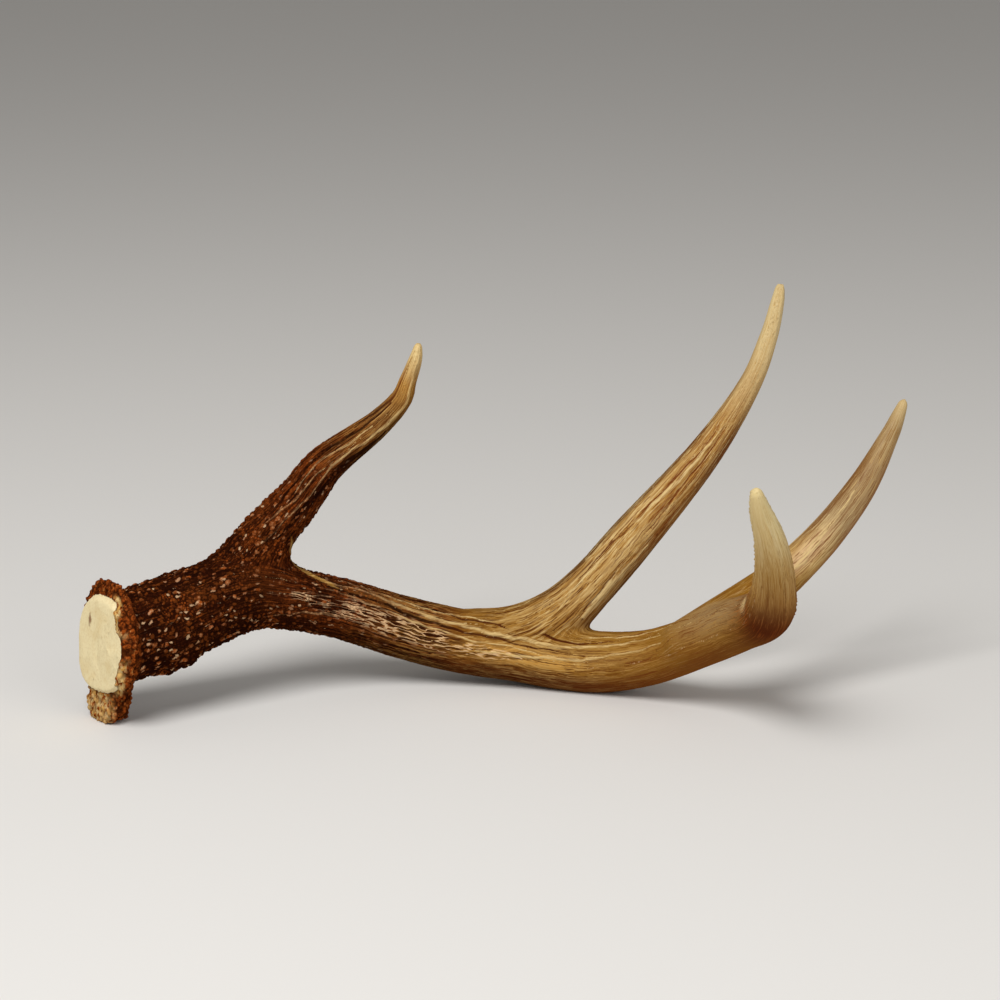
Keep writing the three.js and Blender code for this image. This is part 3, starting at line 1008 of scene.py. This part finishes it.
def antler_finish():
    """Antler bone from dark pearled bark to ivory tips, with a rusty burr and a bare bone face."""
    material = bpy.data.materials.new("antler bone")
    material.use_nodes = True
    tree = material.node_tree
    shader = tree.nodes["Principled BSDF"]
    sheet = FinishSheet(tree)
    ground, pale, deep = (sheet.read(name, "COLOUR") for name in ("ground", "pale", "deep"))
    pearl_cover, ridge_cover = sheet.read("pearl_cover"), sheet.read("ridge_cover")
    shares = ("crust", "bone", "under", "collar", "rim", "crackle")
    crust, bone, under, collar, rim, crackle = (sheet.read(name) for name in shares)
    place = sheet.node("ShaderNodeTexCoord", out="Object")
    millimetres = sheet.vector("MULTIPLY", place, (1 / MM, 1 / MM, 1 / MM))

    bead, own = on_both_flows(sheet, pearls, PEARL_WIDTH, PEARL_LENGTH, SEED)
    crest = on_both_flows(sheet, ridges, RIDGE_WIDTH, RIDGE_LENGTH, SEED)
    fine = on_both_flows(sheet, fine_streaks, STREAK_WIDTH, STREAK_LENGTH)
    broad = on_both_flows(sheet, fine_streaks, BROAD_WIDTH, BROAD_LENGTH)

    # Bark: ground colour, darker in the grooves, paler in streaks and on crests, and painted shade darkening
    # the underside.
    colour = sheet.blend(sheet.ease(broad, 0.5, 0.68) * 0.35, ground, deep)
    colour = sheet.blend(sheet.ease(broad, 0.46, 0.32) * 0.25, colour, pale)
    colour = sheet.blend(sheet.ease(fine, 0.54, 0.64) * 0.8, colour, pale)
    colour = sheet.blend(sheet.ease(fine, 0.46, 0.38) * 0.9, colour, deep)
    colour = sheet.blend(sheet.ease(crest, 0.6, 0.95) * ridge_cover * 0.5, colour, pale)
    colour = sheet.blend((1 - sheet.ease(crest, 0.0, 0.4)) * ridge_cover * 0.7, colour, deep)
    wave = on_both_flows(sheet, ridges, CRACKLE_WIDTH, CRACKLE_LENGTH, SEED)
    colour = sheet.blend(sheet.ease(wave, 0.6, 0.25) * crackle * 0.65, colour, deep)
    colour = sheet.blend(sheet.ease(wave, 0.7, 0.95) * crackle * 0.95, colour, sheet.blend(0.8, pale, CHALK))
    colour = sheet.blend(line_on(sheet, "dark_line") * 0.92, colour, deep)
    line_tone = sheet.blend(0.7, pale, sheet.blend(pearl_cover, CREAM, ROSY))
    strands = on_both_flows(sheet, fine_streaks, STRAND_WIDTH, STRAND_LENGTH)
    strands = sheet.ease(strands, 0.4, 0.56)
    colour = sheet.blend(line_on(sheet, "pale_line") * (strands * 0.7 + 0.22), colour, line_tone)
    # Painted shade: darker towards the deep tone where the skin faces down, more so on the pearled bark.
    colour = sheet.blend(under * (pearl_cover * 0.15 + 0.6), colour, deep)
    colour = sheet.blend(rim * 0.8, colour, sheet.blend(sheet.ease(fine, 0.4, 0.6), OLIVE, TAN))

    # Lower beam: fine dark grains, rusty patches, and pearls of which a few have pale tips.
    grains, _ = knobs(sheet, millimetres, GRAIN_WIDTH)
    colour = sheet.blend((1 - sheet.ease(grains, 0.1, 0.6)) * pearl_cover * 0.7, colour, BARK)
    gloom = sheet.ease(sheet.noise(place, 75.0, 3.0, 0.6), 0.5, 0.62) * pearl_cover
    colour = sheet.blend(gloom * 0.7, colour, BARK)
    patch = sheet.ease(sheet.noise(place, 110.0, 4.0, 0.65), 0.53, 0.66) * pearl_cover
    colour = sheet.blend(patch * 0.62, colour, sheet.blend(sheet.ease(grains, 0.2, 0.7), UMBER, RUST))
    tip = sheet.ease(bead, 0.3, 0.95) * pearl_cover
    colour = sheet.blend(tip * 0.6, colour, sheet.blend(sheet.ease(own, 0.3, 0.6), CHESTNUT, RUSSET))
    colour = sheet.blend(tip * sheet.ease(own, 0.8, 0.98) * 0.85, colour, sheet.blend(grains, RUST, ROSY))
    fleck, fleck_own = on_both_flows(sheet, pearls, FLECK_WIDTH, FLECK_LENGTH, FLECK_SEED)
    fleck = sheet.ease(fleck, 0.4, 0.95) * sheet.ease(fleck_own, 0.8, 0.94) * pearl_cover
    colour = sheet.blend(fleck * 0.85, colour, sheet.blend(sheet.ease(fleck_own, 0.86, 1.0), RUST, DUST))

    # Burr: rusty knobs, some of them tan, dark between them, and tan strokes next to the bone face.
    strayed = sheet.swayed(millimetres, 0.35, (1.6, 1.6, 1.6))
    knob, knob_own = knobs(sheet, strayed, KNOB_WIDTH)
    mottle = sheet.noise(millimetres, 0.9, 4.0, 0.65)
    rust = sheet.blend(sheet.ease(mottle, 0.38, 0.62), CHESTNUT, RUST)
    rust = sheet.blend(sheet.ease(mottle, 0.55, 0.7) * sheet.ease(knob_own, 0.55, 0.9) * 0.8, rust, TAN)
    blot = sheet.noise(millimetres, 0.16, 3.0, 0.6)
    rust = sheet.blend(sheet.ease(blot, 0.5, 0.68) * 0.6, rust, CHESTNUT)
    strokes = sheet.noise(sheet.vector("MULTIPLY", millimetres, (0.8, 0.8, 0.22)), 1.0, 3.0, 0.6)
    tan = sheet.blend(sheet.ease(strokes, 0.38, 0.5), RUST, sheet.blend(knob_own, AMBER, CREAM))
    rust = sheet.blend(collar * sheet.ease(strokes, 0.34, 0.48), rust, tan)
    rust = sheet.blend((1 - sheet.ease(knob, 0.0, 0.45)) * (0.8 - collar * 0.55), rust, BARK)
    colour = sheet.blend(crust, colour, rust)

    # Bare bone: cream, with a faint grain, a ragged dark rim and a brown spot.
    grain = sheet.noise(place, 900.0, 4.0, 0.7)
    ragged = sheet.noise(millimetres, 0.6, 3.0, 0.6)
    bone = sheet.ease(bone + (ragged - 0.5) * 0.9, 0.35, 0.6)
    cream = sheet.blend(sheet.ease(grain, 0.4, 0.8) * 0.35, BONE, TAN)
    cream = sheet.blend(sheet.ease(sheet.noise(millimetres, 0.12, 2.0), 0.5, 0.7) * 0.3, cream, CREAM)
    from_spot = sheet.vector("SUBTRACT", millimetres, SPOT)
    from_spot = sheet.vector("DIVIDE", from_spot, (SPOT_WIDTH, SPOT_WIDTH, SPOT_HEIGHT))
    spot = 1 - sheet.ease(sheet.vector("LENGTH", from_spot, out="Value") + (ragged - 0.5) * 1.5, 0.4, 1.3)
    cream = sheet.blend(spot * 0.75, cream, RUSSET)
    colour = sheet.blend(bone * (1 - bone) * 3, colour, UMBER)
    colour = sheet.blend(bone, colour, cream)

    rough = sheet.mix(crust, 0.5 - fine * 0.1 + pearl_cover * 0.12, 0.6)
    rough = sheet.mix(bone, rough, 0.72)
    height = fine * 0.12 + grain * (bone * 0.1 + crust * 0.25 + pearl_cover * 0.15)
    height = height + grains * pearl_cover * 0.3
    bump = sheet.node("ShaderNodeBump", {"Strength": 0.7, "Distance": MM, "Height": height})
    shader.inputs["Specular IOR Level"].default_value = SHEEN
    shader.inputs["Coat Roughness"].default_value = COAT_ROUGHNESS
    tree.links.new(sheet.read("polish").socket, shader.inputs["Coat Weight"])
    tree.links.new(colour.socket, shader.inputs["Base Color"])
    tree.links.new(rough.socket, shader.inputs["Roughness"])
    tree.links.new(bump.socket, shader.inputs["Normal"])
    return material


# ---- stage, in metres ----

FLOOR_HALF = 8.0
FLOOR_COLOUR = (0.74, 0.72, 0.69, 1)
SKY_COLOUR = (1.0, 0.98, 0.95, 1)
SKY_STRENGTH = 0.28
# Round lamps: name, place, width and power.
LAMPS = [("key", (-0.5, -0.9, 1.5), 1.0, 27), ("fill", (1.0, -1.2, 0.8), 1.2, 6)]
LAMPS_AIM = (0.0, 0.04, 0.06)


def floor_finish():
    material = bpy.data.materials.new("pale floor")
    material.use_nodes = True
    shader = material.node_tree.nodes["Principled BSDF"]
    shader.inputs["Base Color"].default_value = FLOOR_COLOUR
    shader.inputs["Roughness"].default_value = 0.8
    return material


def make_floor():
    corners = FLOOR_HALF / MM * np.array([(-1, -1, 0), (1, -1, 0), (1, 1, 0), (-1, 1, 0)])
    floor = mesh_from("floor", corners, [(0, 1, 2, 3)])
    floor.data.materials.append(floor_finish())


def soft_light(name, place, size, power):
    lamp = bpy.data.lights.new(name, "AREA")
    lamp.shape = "DISK"
    lamp.size = size
    lamp.energy = power
    light = bpy.data.objects.new(name, lamp)
    light.location = place
    light.rotation_euler = (Vector(LAMPS_AIM) - Vector(place)).to_track_quat("-Z", "Y").to_euler()
    bpy.context.scene.collection.objects.link(light)


def make_studio():
    world = bpy.data.worlds.new("studio")
    world.use_nodes = True
    background = world.node_tree.nodes["Background"]
    background.inputs["Color"].default_value = SKY_COLOUR
    background.inputs["Strength"].default_value = SKY_STRENGTH
    bpy.context.scene.world = world
    bpy.context.scene.view_settings.view_transform = "Standard"
    for lamp in LAMPS:
        soft_light(*lamp)


# The camera looks 15 degrees down, from about 1.2 m away. Its lens and sensor are in millimetres.
CAMERA_PLACE = (0.0, -1.1011, 0.3895)
CAMERA_TILT = math.radians(75)
CAMERA_LENS = 102.857


def make_camera():
    lens = bpy.data.cameras.new("camera")
    lens.lens = CAMERA_LENS
    lens.sensor_width = 36
    camera = bpy.data.objects.new("camera", lens)
    camera.location = CAMERA_PLACE
    camera.rotation_euler = (CAMERA_TILT, 0, 0)
    bpy.context.scene.collection.objects.link(camera)
    bpy.context.scene.camera = camera


# ---- the antler ----


def keep_within(mesh, box):
    low, high = (np.array(corner) / MM for corner in box)
    move_spots(mesh, np.clip(spots_of(mesh), low, high))


def make_antler(box):
    limbs = [
        Limb(MAIN_BEAM, BEAM_TONES, BEAM_RELIEF, foot_aim=FACE_AIM),
        Limb(BROW_TINE, BROW_TONES, BROW_RELIEF, PATTERN_APART, BROW_FILLET),
        Limb(SECOND_TINE, SECOND_TONES, SECOND_RELIEF, 2 * PATTERN_APART, SECOND_FILLET),
        Limb(THIRD_TINE, THIRD_TONES, THIRD_RELIEF, 3 * PATTERN_APART, THIRD_FILLET),
    ]
    antler = joined_tubes(limbs)
    one_skin(antler, DRAFT_VOXEL)
    blend_at_forks(antler.data, limbs, 5)
    one_skin(antler, SKIN_VOXEL)
    blend_at_forks(antler.data, limbs, 1)
    write_growth(antler.data, limbs)
    grow_relief(antler, antler_finish())
    triangles = sum(len(face.vertices) - 2 for face in antler.data.polygons)
    thin = antler.modifiers.new("thin out", "DECIMATE")
    thin.ratio = min(1, SKIN_TRIANGLES / triangles)
    settled(antler)
    keep_within(antler.data, box)
    antler.data.shade_smooth()
    return antler


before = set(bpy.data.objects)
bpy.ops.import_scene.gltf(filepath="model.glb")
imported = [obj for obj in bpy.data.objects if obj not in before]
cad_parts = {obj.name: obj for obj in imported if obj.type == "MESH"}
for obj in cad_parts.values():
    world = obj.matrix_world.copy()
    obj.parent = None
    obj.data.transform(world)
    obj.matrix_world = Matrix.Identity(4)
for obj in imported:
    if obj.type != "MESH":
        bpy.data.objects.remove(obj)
cad_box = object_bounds()
make_camera()
make_studio()
make_floor()
antler = make_antler(cad_box)
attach(antler, "root")
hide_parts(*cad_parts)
